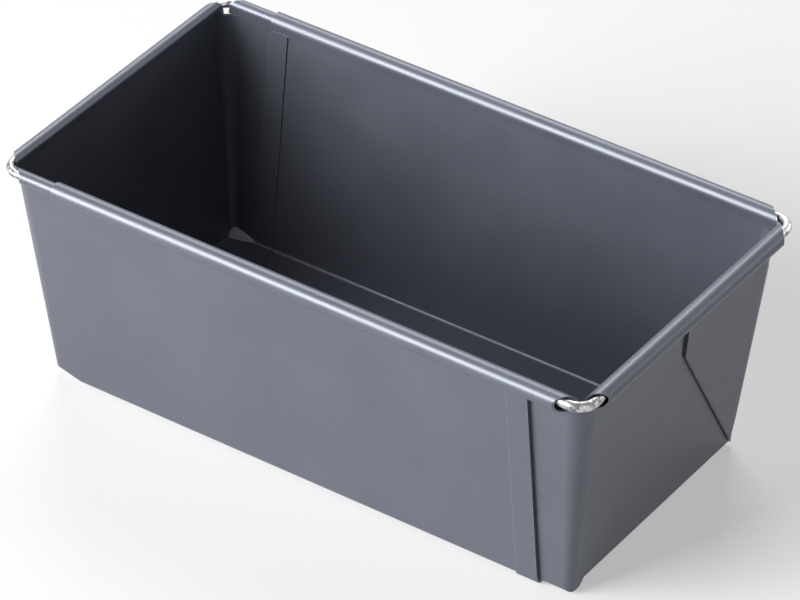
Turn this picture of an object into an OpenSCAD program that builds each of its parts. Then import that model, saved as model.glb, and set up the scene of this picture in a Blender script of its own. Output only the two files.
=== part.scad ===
// Extendable loaf pan, closed: two folded sheet trays that slide one inside the other.
// Millimetres. X runs along the length, Y across it, Z up from the table.

/* [Pan] */
// Length over the two end walls at rim height, with the pan closed
closed_len = 200.2; // [160:1:260]
// Length over the two end walls at the floor
base_len = 183.2; // [145:1:240]
// Width over the outer tray's long walls at rim height
top_w = 106.4; // [80:1:140]
// Width over the outer tray's long walls at the floor
base_w = 88.4; // [65:1:120]
// Height from the table to the top of the rim
pan_h = 80; // [50:1:110]

/* [Sheet] */
// Thickness of the steel sheet of both trays
sheet = 0.45; // [0.3:0.05:0.8]
// Side clearance between the walls of the two trays
side_gap = 0.25; // [0.15:0.05:0.6]
// Clearance between the floors of the two trays
floor_gap = 0.06; // [0.04:0.02:0.3]
// Radius of the bend between the floor and a long wall
side_bend_r = 2; // [1.2:0.1:5]
// Radius of the bend between the floor and an end wall
end_bend_r = 1.6; // [1.2:0.1:8]
// Corner radius between a long wall and an end wall, at the floor
corner_r_low = 2.4; // [1.5:0.1:6]
// Corner radius between a long wall and an end wall, at the rim
corner_r_high = 6; // [3:0.1:12]

/* [Hems and overlap] */
// Width of the flattened hem along the outer tray's open edge
outer_hem_w = 7.2; // [4:0.1:14]
// Width of the flattened hem along the inner tray's open edge
inner_hem_w = 6.4; // [4:0.1:14]
// Distance from a tray's open edge to the other tray's end wall, at the floor
edge_setback = 10.6; // [7:0.1:40]
// Distance from the rim top down to the top of the hem on the inner tray
inner_hem_drop = 4.8; // [3.6:0.1:12]
// Distance from the rim top down to the top of the hem on the outer tray
outer_hem_drop = 6.4; // [6:0.1:14]

/* [Rim] */
// Outside diameter of the rolled rim of the outer tray
roll_d = 4.2; // [3.4:0.1:6]
// How far round the outer tray's rim is rolled, in degrees
outer_roll_turn = 304; // [250:1:310]
// How far round the inner tray's rim is rolled, in degrees
inner_roll_turn = 292; // [240:1:300]
// Diameter of the wire in the outer tray's rim
outer_wire_d = 2.6; // [1.8:0.1:3.2]
// Diameter of the wire in the inner tray's rim
inner_wire_d = 3.2; // [2:0.1:4.2]
// How far above the middle of its roll the inner tray's wire lies
inner_wire_lift = 0.4; // [0:0.05:0.5]
// Centre line radius of the outer wire's bends
outer_wire_r = 5.4; // [4:0.1:7]
// Centre line radius of the inner wire's bends
inner_wire_r = 4.8; // [4:0.1:7]
// Distance from the rim top down to the notch where a corner leaves the rim
lip_drop = 4.9; // [4:0.1:8]
// How far inside the sharp corner of the walls the slanting cut of the rim lies
rim_cut = 2.3; // [1.4:0.1:4]

/* [Folded ears] */
// How far the two layers of a folded ear stand out from the bare end wall
ear_t = 1; // [0.9:0.05:1.6]
// Gap left under the free fold of an ear
ear_gap = 0.25; // [0.1:0.05:0.4]
// How far the gap reaches in under the fold
ear_gap_depth = 2; // [0.5:0.1:3]
// Radius on the outside of the free fold of an ear
fold_r = 0.5; // [0.2:0.05:0.6]
// Height of the point where the two ears meet, as a share of the pan's height
pinch_share = 0.735; // [0.5:0.005:0.85]
// Distance of that point from the middle of the end wall
pinch_off = 2.7; // [-6:0.1:6]
// Width of bare fold left at the near bottom corner of an end wall
near_tip = 5.4; // [1:0.1:12]
// Width of bare fold left at the far bottom corner of an end wall
far_tip = 1.2; // [1:0.1:12]
// Width of the slot between the ears at its foot
slot_low = 2.4; // [1.6:0.1:4]
// Width of the slot between the ears at the rim
slot_high = 5.2; // [1.6:0.1:8]
// How far the slot leans to the near side on its way up
slot_lean = 2.2; // [-4:0.1:4]
// Height of the pressed facet at the outer tray's bottom corners
facet_h = 3.4; // [0:0.1:4]
// Length of the pressed facet at the outer tray's bottom corners
facet_len = 13; // [6:0.5:20]

/* [Hidden] */
$fn = 96;
// underside of the outer tray's floor, raised by the hem folded under it
z0 = sheet;
z_top = pan_h;
kw = (top_w - base_w) / 2 / (z_top - z0);
kl = (closed_len - base_len) / 2 / (z_top - z0);
aw = atan(kw);
al = atan(kl);
r1 = roll_d / 2;
r2 = r1 + side_gap + sheet;
zc = z_top - r2;
z_lip = z_top - lip_drop;
// the strip between wall and roll runs a little into both, just inside their faces
seam = 0.05;
skin = 0.03;
z_strip = z_lip - seam;
outer_lead = base_len / 2 - edge_setback;
inner_lead = outer_lead;
// offsets of the surfaces of the inner tray from the outer tray's outside
in_out = sheet + side_gap;
in_in = in_out + sheet;
in_floor = sheet + floor_gap;
end_in = ear_t + sheet;
// centre lines of the rolled rims
yc = hundredth(base_w / 2 + (zc - z0) * kw + (r1 - sheet) / cos(aw));
xc1 = hundredth(base_len / 2 + (zc - z0) * kl + (r1 - end_in) / cos(al));
xc2 = hundredth(base_len / 2 + (zc - z0) * kl + (r2 - end_in) / cos(al));
// places up the slope of the end wall where the ears meet and where their slot ends
pinch_up = (pan_h * pinch_share - z0) / cos(al);
slot_up = (pan_h - 4 - z0) / cos(al);
// moves the origin to the middle of the closed pan
x_mid = ((xc1 + r1) - (xc2 + r2)) / 2;
// the sharp corner of the walls at the roll's height
cx = base_len / 2 + (zc - z0) * kl;
cy = base_w / 2 + (zc - z0) * kw;

function hundredth(v) = round(v * 100) / 100;
function unit(v) = v / norm(v);
function wall_y(z, o) = base_w / 2 + (z - z0) * kw - o / cos(aw);
function end_x(z, o) = base_len / 2 + (z - z0) * kl - o / cos(al);

// What lies outside a bend of radius r between a floor at height zb and a wall leaning out by angle a
module bend_cut(hb, zb, a, r) {
  cxx = hb + r * tan(a) - r / cos(a);
  difference() {
    polygon([
      [cxx, zb + r],
      [cxx, zb - 3],
      [hb + 6, zb - 3],
      [cxx + (r + 6) * cos(a), zb + r - (r + 6) * sin(a)],
    ]);
    translate([cxx, zb + r]) circle(r = r);
  }
}

// Section of the filled trough across the length
module side_profile(os, of, r, zt) {
  zb = z0 + of;
  difference() {
    polygon([
      [-wall_y(zb, os), zb],
      [wall_y(zb, os), zb],
      [wall_y(zt, os), zt],
      [-wall_y(zt, os), zt],
    ]);
    bend_cut(wall_y(zb, os), zb, aw, r);
    mirror([1, 0]) bend_cut(wall_y(zb, os), zb, aw, r);
  }
}

// Section of the filled trough along the length, with its end wall on the left
module end_profile(oe, of, r, xl, zt) {
  zb = z0 + of;
  difference() {
    polygon([
      [-end_x(zb, oe), zb],
      [xl, zb],
      [xl, zt],
      [-end_x(zt, oe), zt],
    ]);
    if (r > 0) mirror([1, 0]) bend_cut(end_x(zb, oe), zb, al, r);
  }
}

// What lies outside the conical corner between the near wall and the left end wall
module corner_cut(os, oe, r_low, r_high) {
  n_side = [0, -cos(aw), -sin(aw)];
  n_end = [-cos(al), 0, -sin(al)];
  e = unit([-kl, -kw, 1]);
  mid = n_side + n_end;
  i = -unit(mid);
  cphi = norm(mid) / 2;
  k = (r_high - r_low) / (z_top - z0);
  t = atan(k * e[2] / (cphi - k * i[2]));
  u = cos(t) * e + sin(t) * i;
  half = asin(sin(t) * cphi);
  za = z0 - r_low / k;
  apex = [-end_x(za, oe), -wall_y(za, os), za];
  xl = unit(-i + (i * u) * u);
  yl = cross(u, xl);
  proj = n_side - (n_side * u) * u;
  psi = acos(unit(proj) * xl);
  h = (z_top + 12 - za) / u[2];
  big = 40;
  translate(apex)
    rotate([atan2(yl[2], u[2]), asin(-xl[2]), atan2(xl[1], xl[0])])
      difference() {
        linear_extrude(height = h)
          polygon([
            [0, 0],
            [big * cos(psi), -big * sin(psi)],
            [big * 1.8, 0],
            [big * cos(psi), big * sin(psi)],
          ]);
        cylinder(h = h, r1 = 0, r2 = h * tan(half));
      }
}

// Filled trough: a tray's outside or inside as one block, end wall on the left, cut off at zt
module trough(os, oe, of, rs, re, cr_low, cr_high, xl, zt) {
  difference() {
    intersection() {
      translate([-150, 0, 0])
        rotate([90, 0, 90])
          linear_extrude(height = 150 + xl) side_profile(os, of, rs, zt);
      rotate([90, 0, 0])
        linear_extrude(height = 200, center = true) end_profile(oe, of, re, xl + 10, zt);
    }
    corner_cut(os, oe, cr_low, cr_high);
    mirror([0, 1, 0]) corner_cut(os, oe, cr_low, cr_high);
  }
}

// Straight trough without an end wall, for the hems
module channel(os, of, rs, xa, xb, zt) {
  translate([xa, 0, 0])
    rotate([90, 0, 90])
      linear_extrude(height = xb - xa) side_profile(os, of, rs, zt);
}

// Places flat work on the outside of the left end wall, local x to the near side, y up, z outward
module on_end() {
  translate([-base_len / 2, 0, z0]) rotate([90 + al, 0, -90]) children();
}

// Outline of the bare wall and the slot above it, moved out under the ears by o
module bare_outline(o) {
  yn = base_w / 2 - near_tip;
  yf = base_w / 2 - far_tip;
  on = min(o, near_tip / 2);
  of = min(o, far_tip / 2);
  polygon([
    [yn + on, -3],
    [yn + on, 0],
    [-pinch_off + slot_low / 2 + o, pinch_up],
    [-pinch_off + slot_lean + slot_high / 2 + o, slot_up],
    [-pinch_off + slot_lean - slot_high / 2 - o, slot_up],
    [-pinch_off - slot_low / 2 - o, pinch_up],
    [-yf - of, 0],
    [-yf - of, -3],
  ]);
}

// Rounds off the free fold of an ear from a to b, with the bare wall on the left of that way
module fold_cut(a, b) {
  c = -0.94 * fold_r;
  way = b - a;
  translate([a[0], a[1], 0])
    rotate([0, 0, atan2(way[1], way[0])])
      rotate([90, 0, 90])
        linear_extrude(height = norm(way))
          difference() {
            translate([c, c]) square(fold_r + 1);
            translate([c, c]) circle(r = fold_r);
          }
}

// The part of the end wall that no ear covers, and the slot between the ears
module bare_wall() {
  yn = base_w / 2 - near_tip;
  yf = base_w / 2 - far_tip;
  near_way = [-pinch_off + slot_low / 2 - yn, pinch_up];
  far_way = [-pinch_off - slot_low / 2 + yf, pinch_up];
  on_end() {
    translate([0, 0, -ear_t]) {
      linear_extrude(height = ear_t + 3) bare_outline(0);
      linear_extrude(height = ear_gap) bare_outline(ear_gap_depth);
    }
    fold_cut([yn, 0] - near_way * 0.1, [yn, 0] + near_way);
    fold_cut([-yf, 0] + far_way, [-yf, 0] - far_way * 0.1);
  }
  rotate([90, 0, 0])
    translate([0, 0, -yf])
      linear_extrude(height = yn + yf)
        mirror([1, 0]) bend_cut(end_x(z0, ear_t), z0, al, end_bend_r);
}

// Trims the ears under the rolled rim of the end wall
module ear_tops(r) {
  zt = zc - r - 0.35;
  translate([0, 0, zt])
    intersection() {
      translate([-end_x(zt, 0) - 4, -base_w / 2, 0]) cube([8, base_w, 12]);
      translate([0, 0, -zt]) on_end()
        translate([-base_w / 2, 0, -ear_t]) cube([base_w, 200, 4]);
    }
}

// Space under the pressed facet at the near bottom corner, o is how far the plane is moved in
module facet_cut(o) {
  translate([-base_len / 2 + facet_len, -base_w / 2, z0])
    rotate([0, atan(facet_h / facet_len), 0])
      rotate([-45, 0, 0])
        translate([-60, -60, -60 + o]) cube([80, 120, 60]);
}

// Section of a rolled edge with centre at the origin; the wall meets it on the left
module roll_section(r, a, turn) {
  gap = 360 - turn;
  start = 180 - a;
  difference() {
    circle(r = r);
    circle(r = r - sheet);
    polygon([
      [0, 0],
      2 * r * [cos(start), sin(start)],
      2 * r * [cos(start + gap / 2), sin(start + gap / 2)],
      2 * r * [cos(start + gap), sin(start + gap)],
    ]);
  }
}

// Wall strip above the corner notch with its rolled edge
module rim_section(c, low_out, low_in, a, r, turn) {
  ux = sin(a) * seam;
  uz = cos(a) * seam;
  polygon([
    [low_out - skin, z_strip],
    [c - (r - sheet + skin) * cos(a) + ux, zc + (r - sheet + skin) * sin(a) + uz],
    [c - (r - skin) * cos(a) + ux, zc + (r - skin) * sin(a) + uz],
    [low_in + skin, z_strip],
  ]);
  translate([c, zc]) roll_section(r, a, turn);
}

// What the slanting corner cuts take from the rim
module rim_cuts() {
  for (s = [-1, 1])
    translate([-cx, s * cy, z_lip - 2])
      rotate([0, 0, -s * 45]) translate([-30 + rim_cut, -30, 0]) cube([30, 60, 20]);
}

// Rolled rims of a tray with its end wall on the left
module rim(r, turn, os, xcc, xa) {
  difference() {
    translate([-120, 0, 0])
      rotate([90, 0, 90])
        linear_extrude(height = 120 + xa) {
          rim_section(yc, wall_y(z_strip, os), wall_y(z_strip, os + sheet), aw, r, turn);
          mirror([1, 0])
            rim_section(yc, wall_y(z_strip, os), wall_y(z_strip, os + sheet), aw, r, turn);
        }
    rim_cuts();
  }
  difference() {
    rotate([90, 0, 0])
      linear_extrude(height = 2 * yc + 20, center = true)
        mirror([1, 0])
          rim_section(xcc, end_x(z_strip, ear_t), end_x(z_strip, end_in), al, r, turn);
    rim_cuts();
  }
}

module outer_sheet() {
  difference() {
    trough(0, 0, 0, side_bend_r, 0, corner_r_low, corner_r_high, outer_lead, z_lip);
    difference() {
      trough(sheet, end_in, sheet, side_bend_r - sheet, end_bend_r - sheet,
        corner_r_low - sheet, corner_r_high - 1, outer_lead + 1, z_lip + 1);
      facet_cut(sheet);
      mirror([0, 1, 0]) facet_cut(sheet);
    }
    bare_wall();
    ear_tops(r1);
    facet_cut(0);
    mirror([0, 1, 0]) facet_cut(0);
  }
  rim(r1, outer_roll_turn, 0, xc1, outer_lead);
  // hem folded outward and under
  difference() {
    channel(-sheet, -sheet, side_bend_r + sheet, outer_lead - outer_hem_w, outer_lead,
      z_top - outer_hem_drop);
    channel(sheet / 2, sheet / 2, side_bend_r - sheet / 2, outer_lead - outer_hem_w - 1,
      outer_lead + 1, z_top);
  }
}

module inner_sheet() {
  difference() {
    trough(in_out, 0, in_floor, side_bend_r - sheet + 0.05, 0, corner_r_low,
      corner_r_high, inner_lead, z_lip);
    trough(in_in, end_in, in_floor + sheet, side_bend_r - 2 * sheet + 0.05,
      end_bend_r - sheet, corner_r_low - sheet, corner_r_high - 1, inner_lead + 1,
      z_lip + 1);
    bare_wall();
    ear_tops(r2);
  }
  rim(r2, inner_roll_turn, in_out, xc2, inner_lead);
  // hem folded inward
  difference() {
    channel(in_in - sheet / 2, in_floor + sheet / 2, side_bend_r - 1.5 * sheet + 0.05,
      inner_lead - inner_hem_w, inner_lead, z_top - inner_hem_drop);
    channel(in_in + sheet, in_floor + 2 * sheet, side_bend_r - 3 * sheet + 0.1,
      inner_lead - inner_hem_w - 1, inner_lead + 1, z_top);
  }
}

// Wire in a U round the left end: legs run to x = reach
module wire(d, rb, xcc, reach) {
  for (s = [-1, 1]) {
    translate([-xcc + rb, s * yc, zc])
      rotate([0, 90, 0]) cylinder(h = reach + xcc - rb, d = d);
    translate([-xcc + rb, s * (yc - rb), zc])
      rotate([0, 0, s < 0 ? 180 : 90])
        rotate_extrude(angle = 90) translate([rb, 0]) circle(d = d);
  }
  translate([-xcc, -yc + rb, zc])
    rotate([-90, 0, 0]) cylinder(h = 2 * (yc - rb), d = d);
}

module outer_tray() {
  color("dimgray") translate([x_mid, 0, 0]) outer_sheet();
}

module inner_tray() {
  color("gray") translate([x_mid, 0, 0]) mirror([1, 0, 0]) inner_sheet();
}

module outer_rim_wire() {
  color("silver") translate([x_mid, 0, 0]) wire(outer_wire_d, outer_wire_r, xc1, outer_lead - 2);
}

module inner_rim_wire() {
  color("silver")
    translate([x_mid, 0, 0])
      mirror([1, 0, 0])
        translate([0, 0, inner_wire_lift])
          wire(inner_wire_d, inner_wire_r, xc2, -outer_lead - 1);
}

outer_tray();
inner_tray();
outer_rim_wire();
inner_rim_wire();
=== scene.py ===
"""Extendable loaf pan: finishes, camera and studio, laid out as a Blender add-on."""
import bpy
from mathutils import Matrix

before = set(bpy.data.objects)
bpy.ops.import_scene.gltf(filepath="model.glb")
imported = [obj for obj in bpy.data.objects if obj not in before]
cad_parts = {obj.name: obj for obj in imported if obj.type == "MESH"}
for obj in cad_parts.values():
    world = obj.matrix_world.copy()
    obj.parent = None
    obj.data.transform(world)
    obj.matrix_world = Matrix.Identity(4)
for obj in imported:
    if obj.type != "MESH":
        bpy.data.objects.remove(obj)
bpy.context.view_layer.update()

import math
from mathutils import Matrix, Vector

bl_info = {
    "name": "Extendable Loaf Pan",
    "version": (1, 0, 0),
    "blender": (4, 5, 0),
    "location": "View3D > Sidebar > Loaf Pan",
    "description": "Finishes and studio for a folded sheet loaf pan that slides to length",
    "category": "Object",
}

MM = 0.001
WHITE = (1, 1, 1, 1)
WORLD_UP = Vector((0, 0, 1))

# Photograph's width in pixels, and sensor width in millimetres
PHOTO_WIDTH = 800
SENSOR_WIDTH = 36
# Nearest and furthest distance that the camera shows, in metres
CLIP_START = 0.05
CLIP_END = 20

# Square floor: its side in metres, its finish, and how much of it is plain white to the eye
FLOOR_SIZE = 6
FLOOR_GREY = 0.9
FLOOR_ROUGHNESS = 0.9
FLOOR_WHITE = 0.42
# Strength of the even light that comes from all round
FILL = 0.03

# Square lamps: side, distance from the point that they face, and that point, in metres
LAMP_SIZE = 0.9
LAMP_DISTANCE = 1.6
LAMP_AIM = Vector((0, 0, 0.05))
# Each lamp's name, azimuth from +X and elevation in degrees, and power in watts
LAMPS = (
    ("key", 240, 28, 32.0),
    ("low_left", 216, 6, 30.0),
    ("low_right", 60, 6, 4.5),
    ("top_back", 125, 46, 11.0),
)

# Range that holds most values of a noise texture, and how rough every noise is
NOISE_LOW = 0.3
NOISE_HIGH = 0.7
NOISE_ROUGHNESS = 0.55

# Clouds in the coating: by how much they change its colour and its roughness, either way
CLOUD_SHADE = 0.05
CLOUD_ROUGHNESS = 0.03
# Specks of grain: noise where they begin and are full, their greatest share, and their lightness
SPECK_BEGINS = 0.58
SPECK_FULL = 0.75
SPECK_SHARE = 0.35
SPECK_SHADE = 1.35
GRAIN_ROUGHNESS = 0.02
GRAIN_STRENGTH = 0.1
# How metallic the coating looks, and how metallic its worn edges with their painted highlight look
COATING_METALLIC = 0.45
WORN_GLINT_METALLIC = 0.8
# Cosine between the rounded and the true normal where the edge wear and painted edge highlight begin
# and where they are full
WEAR_GLINT_BEGINS = 0.96
WEAR_GLINT_FULL = 0.82
WEAR_SAMPLES = 6
# Patches of edge wear and painted edge highlight: their width, noise where they begin and are full,
# and the share between them
PATCH_SIZE = 1.5 * MM
PATCH_BEGINS = 0.35
PATCH_FULL = 0.6
PATCH_LEAST = 0.45
# Seam under the rolled rim: how far it reaches down from the rim, and its soft border
SEAM_DEPTH = 0.9 * MM
SEAM_BORDER = 0.1 * MM
# Half the height over which the wall's roughness turns into the rim's
RIM_BORDER = 1 * MM

# Dark patches on the wire, rougher and with painted shade and painted dark reflection: width, noise
# where they begin and are full, and greatest share
DULL_SHADE_SIZE = 1.6 * MM
DULL_SHADE_BEGINS = 0.44
DULL_SHADE_FULL = 0.62
DULL_SHADE_SHARE = 0.85
# Wire's roughness in bright places and in the dull places with painted shade, against its mean, and
# the noise that divides them
BRIGHT_ROUGHNESS = -0.1
DULL_ROUGHNESS = 0.15
ROUGHNESS_LOW = 0.35
ROUGHNESS_HIGH = 0.65
# Draw marks on the wire
MARK_SIZE = 0.35 * MM
MARK_HEIGHT = 0.03 * MM
MARK_STRENGTH = 0.35


class PAN_PG_coating(bpy.types.PropertyGroup):
    """Baked satin coating on the sheet of both trays"""
    color: bpy.props.FloatVectorProperty(
        name="Coating", description="Colour of the baked coating", subtype="COLOR",
        size=3, min=0, max=1, default=(0.118, 0.127, 0.157))
    # Lighter colour of the sharp edges: worn coating, and a painted highlight where the folds catch
    # the light
    worn_and_glint: bpy.props.FloatVectorProperty(
        name="Worn edge", description="Colour of the sheet where the coating is thin on cut edges",
        subtype="COLOR", size=3, min=0, max=1, default=(0.46, 0.47, 0.50))
    roughness: bpy.props.FloatProperty(
        name="Roughness", description="Mean roughness of the walls", min=0, max=1, default=0.40)
    rim_roughness: bpy.props.FloatProperty(
        name="Rim roughness", description="Mean roughness of the rolled rim, rubbed by hands",
        min=0, max=1, default=0.36)
    rim_height: bpy.props.FloatProperty(
        name="Rim height", description="Height above the table where the rolled rim begins",
        subtype="DISTANCE", unit="LENGTH", default=75.5 * MM)
    edge_width: bpy.props.FloatProperty(
        name="Edge width", description="How far the wear reaches in from a cut edge",
        subtype="DISTANCE", unit="LENGTH", default=0.22 * MM)
    mottle_size: bpy.props.FloatProperty(
        name="Mottle size", description="Width of the slow clouds in the coating",
        subtype="DISTANCE", unit="LENGTH", default=28 * MM)
    grain: bpy.props.FloatProperty(
        name="Grain", description="Height of the fine grain in the coating",
        subtype="DISTANCE", unit="LENGTH", default=0.02 * MM)
    grain_size: bpy.props.FloatProperty(
        name="Grain size", description="Spacing of the fine grain",
        subtype="DISTANCE", unit="LENGTH", default=0.45 * MM)


class PAN_PG_wire(bpy.types.PropertyGroup):
    """Drawn wire in the rolled rims"""
    color: bpy.props.FloatVectorProperty(
        name="Wire", description="Colour of the bright drawn wire", subtype="COLOR",
        size=3, min=0, max=1, default=(0.60, 0.60, 0.60))
    # Dark colour of the dull patches: painted shade and painted reflection of the dark pan on the
    # wire
    dull_shade: bpy.props.FloatVectorProperty(
        name="Dull patches", description="Colour of the dull patches on the wire", subtype="COLOR",
        size=3, min=0, max=1, default=(0.13, 0.13, 0.14))
    roughness: bpy.props.FloatProperty(
        name="Roughness", description="Mean roughness of the wire", min=0, max=1, default=0.17)


class PAN_PG_view(bpy.types.PropertyGroup):
    """Camera that took the picture"""
    place: bpy.props.FloatVectorProperty(
        name="Place", description="Where the camera stands", subtype="TRANSLATION",
        unit="LENGTH", size=3, default=(0.788709, -1.156283, 1.067729))
    azimuth: bpy.props.FloatProperty(
        name="Azimuth", description="Turn of the view from +Y towards -X", subtype="ANGLE",
        default=0.597723)
    elevation: bpy.props.FloatProperty(
        name="Elevation", description="Slope of the view below the horizon", subtype="ANGLE",
        default=0.633251)
    roll: bpy.props.FloatProperty(
        name="Roll", description="Tilt of the camera about its own axis", subtype="ANGLE",
        default=0.011143)
    focal: bpy.props.FloatProperty(
        name="Focal length", description="Focal length in pixels of the 800 pixel wide photograph",
        default=5940.15)


def add_node(tree, kind, **values):
    """Node with the given properties and named inputs set"""
    node = tree.nodes.new(kind)
    for key, value in values.items():
        if hasattr(node, key):
            setattr(node, key, value)
        else:
            node.inputs[key].default_value = value
    return node


def new_material(name):
    """Node material with an output and one principled shader on it"""
    material = bpy.data.materials.new(name)
    material.use_nodes = True
    tree = material.node_tree
    tree.nodes.clear()
    output = add_node(tree, "ShaderNodeOutputMaterial")
    shader = add_node(tree, "ShaderNodeBsdfPrincipled")
    tree.links.new(shader.outputs[0], output.inputs["Surface"])
    return material, tree, shader


def between(tree, value, start, end, low=0.0, high=1.0, smooth=False):
    """Socket that runs from low to high while value runs from start to end"""
    course = "SMOOTHSTEP" if smooth else "LINEAR"
    limits = {"From Min": start, "From Max": end, "To Min": low, "To Max": high}
    node = add_node(tree, "ShaderNodeMapRange", interpolation_type=course, **limits)
    tree.links.new(value, node.inputs["Value"])
    return node.outputs["Result"]


def blend(tree, factor, first, second):
    """Colour socket that goes from first to second; each is a colour or a socket"""
    # A mix node's two colours are its inputs 6 and 7, and its mixed colour is output 2
    node = add_node(tree, "ShaderNodeMix", data_type="RGBA")
    tree.links.new(factor, node.inputs[0])
    for socket, value in ((node.inputs[6], first), (node.inputs[7], second)):
        if isinstance(value, bpy.types.NodeSocket):
            tree.links.new(value, socket)
        else:
            socket.default_value = (*value, 1)
    return node.outputs[2]


def arithmetic(tree, operation, first, second):
    """Socket of one operation on two values; each is a number or a socket"""
    node = add_node(tree, "ShaderNodeMath", operation=operation)
    for socket, value in zip(node.inputs, (first, second)):
        if isinstance(value, bpy.types.NodeSocket):
            tree.links.new(value, socket)
        else:
            socket.default_value = value
    return node.outputs[0]


def mixed_shaders(tree, factor, first, second):
    """Shader socket that goes from first to second"""
    node = add_node(tree, "ShaderNodeMixShader")
    for socket, value in zip(node.inputs, (factor, first, second)):
        tree.links.new(value, socket)
    return node.outputs[0]


def noise(tree, spacing, detail=3.0):
    """Noise in the piece's own space with patches about spacing metres wide"""
    coords = add_node(tree, "ShaderNodeTexCoord")
    node = add_node(tree, "ShaderNodeTexNoise",
                    Scale=1 / spacing, Detail=detail, Roughness=NOISE_ROUGHNESS)
    tree.links.new(coords.outputs["Object"], node.inputs["Vector"])
    return node.outputs["Fac"]


def height_above_table(tree):
    """Socket of a point's height in metres"""
    coords = add_node(tree, "ShaderNodeTexCoord")
    axes = add_node(tree, "ShaderNodeSeparateXYZ")
    tree.links.new(coords.outputs["Object"], axes.inputs[0])
    return axes.outputs["Z"]


def shade(color, share):
    """Lighter or darker colour"""
    return [channel * share for channel in color]


def edge_wear_and_glint(tree, width):
    """Socket that is 1 within width of a sharp edge, broken up by noise: worn coating and a painted
    highlight along the edge
    """
    rounded = add_node(tree, "ShaderNodeBevel", samples=WEAR_SAMPLES, Radius=width)
    plain = add_node(tree, "ShaderNodeNewGeometry")
    dot = add_node(tree, "ShaderNodeVectorMath", operation="DOT_PRODUCT")
    tree.links.new(rounded.outputs[0], dot.inputs[0])
    tree.links.new(plain.outputs["Normal"], dot.inputs[1])
    edge = between(tree, dot.outputs["Value"], WEAR_GLINT_BEGINS, WEAR_GLINT_FULL)
    patchy = between(tree, noise(tree, PATCH_SIZE), PATCH_BEGINS, PATCH_FULL, PATCH_LEAST, 1.0)
    return arithmetic(tree, "MULTIPLY", edge, patchy)


def clear_of_seam(tree, height, rim_height):
    """Socket that is 0 in the seam under the rim, which shows no edge wear or painted edge
    highlight, and 1 elsewhere
    """
    seam = rim_height - SEAM_DEPTH
    above = between(tree, height, rim_height, rim_height + SEAM_BORDER)
    below = between(tree, height, seam, seam + SEAM_BORDER, 1.0, 0.0)
    return arithmetic(tree, "MAXIMUM", above, below)


def bumpy(tree, shader, height, distance, strength):
    """Fine relief on a shader"""
    bump = add_node(tree, "ShaderNodeBump", Strength=strength, Distance=distance)
    tree.links.new(height, bump.inputs["Height"])
    tree.links.new(bump.outputs["Normal"], shader.inputs["Normal"])


def coating_color(tree, cloudy, fine, color):
    """Socket of the coating's colour, with slow clouds and light specks of grain"""
    mottled = blend(tree, between(tree, cloudy, NOISE_LOW, NOISE_HIGH),
                    shade(color, 1 - CLOUD_SHADE), shade(color, 1 + CLOUD_SHADE))
    specks = between(tree, fine, SPECK_BEGINS, SPECK_FULL, 0.0, SPECK_SHARE)
    return blend(tree, specks, mottled, shade(color, SPECK_SHADE))


def coating_roughness(tree, cloudy, fine, height, settings):
    """Socket of the coating's roughness, less on the rubbed rim"""
    rough = between(tree, height, settings.rim_height - RIM_BORDER, settings.rim_height + RIM_BORDER,
                    settings.roughness, settings.rim_roughness)
    clouds = between(tree, cloudy, NOISE_LOW, NOISE_HIGH, -CLOUD_ROUGHNESS, CLOUD_ROUGHNESS)
    grain = between(tree, fine, NOISE_LOW, NOISE_HIGH, -GRAIN_ROUGHNESS, GRAIN_ROUGHNESS)
    return arithmetic(tree, "ADD", arithmetic(tree, "ADD", rough, clouds), grain)


def coating_material(name, settings):
    """Satin non-stick coating over folded sheet, thin on its cut edges with a painted highlight
    there, and rubbed on the rim
    """
    material, tree, shader = new_material(name)
    cloudy = noise(tree, settings.mottle_size, detail=4.0)
    fine = noise(tree, settings.grain_size, detail=2.0)
    height = height_above_table(tree)
    # Edge mask: worn coating plus a painted highlight along every sharp edge
    wear_and_glint = arithmetic(tree, "MULTIPLY", edge_wear_and_glint(tree, settings.edge_width),
                      clear_of_seam(tree, height, settings.rim_height))
    color = blend(tree, wear_and_glint, coating_color(tree, cloudy, fine, settings.color), settings.worn_and_glint)
    roughness = coating_roughness(tree, cloudy, fine, height, settings)
    metallic = between(tree, wear_and_glint, 0.0, 1.0, COATING_METALLIC, WORN_GLINT_METALLIC)
    tree.links.new(color, shader.inputs["Base Color"])
    tree.links.new(roughness, shader.inputs["Roughness"])
    tree.links.new(metallic, shader.inputs["Metallic"])
    bumpy(tree, shader, fine, settings.grain, GRAIN_STRENGTH)
    return material


def wire_material(name, settings):
    """Bright drawn wire with dull patches that carry painted shade and painted dark reflection, and
    fine draw marks
    """
    material, tree, shader = new_material(name)
    patches = noise(tree, DULL_SHADE_SIZE, detail=5.0)
    # Mask of the dull patches, which carry painted shade and painted dark reflection as well as more
    # roughness
    dull_and_shaded = between(tree, patches, DULL_SHADE_BEGINS, DULL_SHADE_FULL, 0.0, DULL_SHADE_SHARE, smooth=True)
    color = blend(tree, dull_and_shaded, settings.color, settings.dull_shade)
    roughness = between(tree, patches, ROUGHNESS_LOW, ROUGHNESS_HIGH,
                        settings.roughness + BRIGHT_ROUGHNESS, settings.roughness + DULL_ROUGHNESS)
    tree.links.new(color, shader.inputs["Base Color"])
    tree.links.new(roughness, shader.inputs["Roughness"])
    shader.inputs["Metallic"].default_value = 1.0
    bumpy(tree, shader, noise(tree, MARK_SIZE), MARK_HEIGHT, MARK_STRENGTH)
    return material


def dress(node, material):
    """Gives a CAD node its finish"""
    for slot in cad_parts[node].material_slots:
        slot.material = material


class PAN_OT_coating(bpy.types.Operator):
    """Give both trays their coating"""
    bl_idname = "pan.coating"
    bl_label = "Coat the trays"

    def execute(self, context):
        settings = context.scene.pan_coating
        for node in ("outer_tray", "inner_tray"):
            dress(node, coating_material(node + "_finish", settings))
        return {"FINISHED"}


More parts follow.
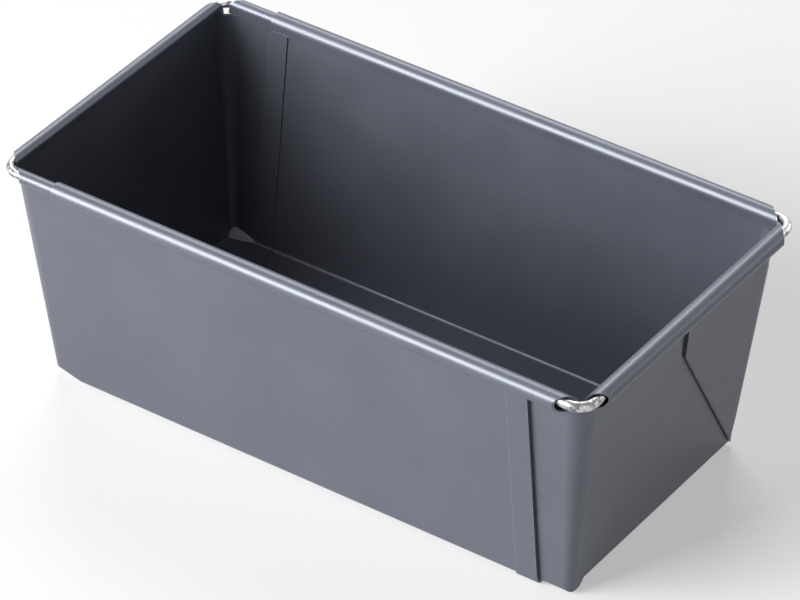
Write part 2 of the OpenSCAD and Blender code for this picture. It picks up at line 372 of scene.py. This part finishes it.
class PAN_OT_wires(bpy.types.Operator):
    """Give the rim wires their finish"""
    bl_idname = "pan.wires"
    bl_label = "Finish the wires"

    def execute(self, context):
        settings = context.scene.pan_wire
        for node in ("outer_rim_wire", "inner_rim_wire"):
            dress(node, wire_material(node + "_finish", settings))
        return {"FINISHED"}


def add_camera(settings):
    """Camera of the picture, from its place, its three angles and its focal length"""
    ca, sa = math.cos(settings.azimuth), math.sin(settings.azimuth)
    ce, se = math.cos(settings.elevation), math.sin(settings.elevation)
    cr, sr = math.cos(settings.roll), math.sin(settings.roll)
    back = Vector((sa * ce, -ca * ce, se))
    right = (-back).cross(WORLD_UP).normalized()
    up = right.cross(-back)
    turn = Matrix((cr * right + sr * up, -sr * right + cr * up, back)).transposed()
    data = bpy.data.cameras.new("camera")
    data.sensor_width = SENSOR_WIDTH
    data.lens = settings.focal / PHOTO_WIDTH * SENSOR_WIDTH
    data.clip_start = CLIP_START
    data.clip_end = CLIP_END
    camera = bpy.data.objects.new("camera", data)
    camera.matrix_world = Matrix.Translation(settings.place) @ turn.to_4x4()
    bpy.context.collection.objects.link(camera)
    bpy.context.scene.camera = camera


def softbox(name, azimuth, elevation, watts):
    """Square soft lamp that faces the pan, at an azimuth from +X and an elevation in degrees"""
    turn, rise = math.radians(azimuth), math.radians(elevation)
    level = math.cos(rise)
    way = Vector((math.cos(turn) * level, math.sin(turn) * level, math.sin(rise)))
    data = bpy.data.lights.new(name, "AREA")
    data.shape = "SQUARE"
    data.size = LAMP_SIZE
    data.energy = watts
    lamp = bpy.data.objects.new(name, data)
    lamp.location = LAMP_AIM + way * LAMP_DISTANCE
    lamp.rotation_euler = way.to_track_quat("Z", "Y").to_euler()
    bpy.context.collection.objects.link(lamp)


def seen_directly(tree):
    """Socket that is 1 for what the eye, a reflection or a see-through surface shows"""
    path = add_node(tree, "ShaderNodeLightPath")
    passed_on = arithmetic(tree, "MAXIMUM", path.outputs["Is Glossy Ray"],
                           path.outputs["Is Transmission Ray"])
    return arithmetic(tree, "MAXIMUM", path.outputs["Is Camera Ray"], passed_on)


def white_world():
    """World that shows white to the eye and in reflections and fills in with soft light"""
    world = bpy.data.worlds.new("studio")
    bpy.context.scene.world = world
    world.use_nodes = True
    tree = world.node_tree
    tree.nodes.clear()
    output = add_node(tree, "ShaderNodeOutputWorld")
    seen = add_node(tree, "ShaderNodeBackground", Color=WHITE)
    light = add_node(tree, "ShaderNodeBackground", Color=WHITE, Strength=FILL)
    surface = mixed_shaders(tree, seen_directly(tree), light.outputs[0], seen.outputs[0])
    tree.links.new(surface, output.inputs["Surface"])


def floor_material():
    """Pale floor that looks white and keeps a light shadow of the pan"""
    material, tree, shader = new_material("floor_finish")
    shader.inputs["Base Color"].default_value = (FLOOR_GREY, FLOOR_GREY, FLOOR_GREY, 1)
    shader.inputs["Roughness"].default_value = FLOOR_ROUGHNESS
    shader.inputs["Specular IOR Level"].default_value = 0.0
    glow = add_node(tree, "ShaderNodeEmission", Color=WHITE)
    share = arithmetic(tree, "MULTIPLY", seen_directly(tree), FLOOR_WHITE)
    surface = mixed_shaders(tree, share, shader.outputs[0], glow.outputs[0])
    output = next(node for node in tree.nodes if node.type == "OUTPUT_MATERIAL")
    tree.links.new(surface, output.inputs["Surface"])
    return material


class PAN_OT_studio(bpy.types.Operator):
    """Set up camera, floor and lamps"""
    bl_idname = "pan.studio"
    bl_label = "Set up the studio"

    def execute(self, context):
        add_camera(context.scene.pan_view)
        white_world()
        bpy.ops.mesh.primitive_plane_add(size=FLOOR_SIZE)
        floor = context.object
        floor.name = "floor"
        floor.data.materials.append(floor_material())
        for lamp in LAMPS:
            softbox(*lamp)
        context.scene.view_settings.view_transform = "Standard"
        return {"FINISHED"}


class PAN_PT_panel(bpy.types.Panel):
    """Sizes, colours and steps of the loaf pan"""
    bl_label = "Loaf Pan"
    bl_idname = "PAN_PT_panel"
    bl_space_type = "VIEW_3D"
    bl_region_type = "UI"
    bl_category = "Loaf Pan"

    def draw(self, context):
        layout = self.layout
        for name in GROUPS:
            settings = getattr(context.scene, name)
            box = layout.box()
            for key in settings.__annotations__:
                box.prop(settings, key)
        for step in STEPS:
            layout.operator(step.bl_idname)


GROUPS = {"pan_coating": PAN_PG_coating, "pan_wire": PAN_PG_wire, "pan_view": PAN_PG_view}
STEPS = (PAN_OT_coating, PAN_OT_wires, PAN_OT_studio)
CLASSES = (*GROUPS.values(), *STEPS, PAN_PT_panel)


def register():
    """Makes the classes and each scene's settings known"""
    for cls in CLASSES:
        bpy.utils.register_class(cls)
    for name, group in GROUPS.items():
        setattr(bpy.types.Scene, name, bpy.props.PointerProperty(type=group))


def unregister():
    """Takes the settings and the classes away again"""
    for name in GROUPS:
        delattr(bpy.types.Scene, name)
    for cls in reversed(CLASSES):
        bpy.utils.unregister_class(cls)


def main():
    """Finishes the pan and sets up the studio"""
    register()
    bpy.ops.pan.coating()
    bpy.ops.pan.wires()
    bpy.ops.pan.studio()


if __name__ == "__main__":
    main()
